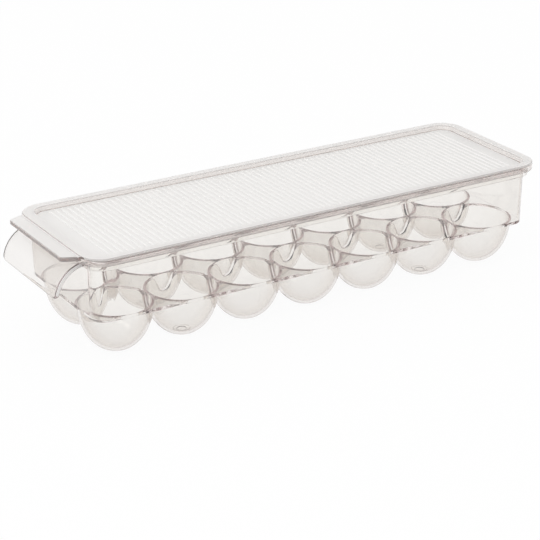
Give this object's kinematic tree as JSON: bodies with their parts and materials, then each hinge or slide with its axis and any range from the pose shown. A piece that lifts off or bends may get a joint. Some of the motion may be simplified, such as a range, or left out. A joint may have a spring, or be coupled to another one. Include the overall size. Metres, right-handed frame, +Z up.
{
  "type": "egg keeper",
  "caption": "Clear egg keeper with rows of deep egg cups, a curled front handle and a finely ribbed flip lid hinged along the back.",
  "frame": {"origin": "centre of the overall length and width, on the surface that the cups stand on", "axes": "+Z up, +Y from the handle at the front to the hinge at the back, +X across the two rows of cups"},
  "size_m": [0.1114, 0.3725, 0.0778],
  "materials": {
    "clear_plastic": "clear glossy injection moulding"
  },
  "bodies": {
    "tray": {"tray_wall_front": "clear_plastic", "tray_wall_rear": "clear_plastic", "tray_wall_left": "clear_plastic", "tray_wall_right": "clear_plastic", "egg_cup_left_1": "clear_plastic", "egg_cup_left_2": "clear_plastic", "egg_cup_left_3": "clear_plastic", "egg_cup_left_4": "clear_plastic", "egg_cup_left_5": "clear_plastic", "egg_cup_left_6": "clear_plastic", "egg_cup_left_7": "clear_plastic", "egg_cup_right_1": "clear_plastic", "egg_cup_right_2": "clear_plastic", "egg_cup_right_3": "clear_plastic", "egg_cup_right_4": "clear_plastic", "egg_cup_right_5": "clear_plastic", "egg_cup_right_6": "clear_plastic", "egg_cup_right_7": "clear_plastic", "handle": "clear_plastic", "pivot_bracket_left": "clear_plastic", "pivot_bracket_right": "clear_plastic"},
    "lid": {"lid_border_front": "clear_plastic", "lid_border_rear": "clear_plastic", "lid_border_left": "clear_plastic", "lid_border_right": "clear_plastic", "lid_panel": "clear_plastic", "lid_tab": "clear_plastic", "lid_clip_left": "clear_plastic", "lid_clip_right": "clear_plastic"}
  },
  "joints": [
    {"name": "lid_hinge", "type": "hinge", "parent": "tray", "child": "lid", "pos_m": [0, 0.18315, 0.06772], "axis": [-1, 0, 0], "range_deg": [0, 105]}
  ]
}
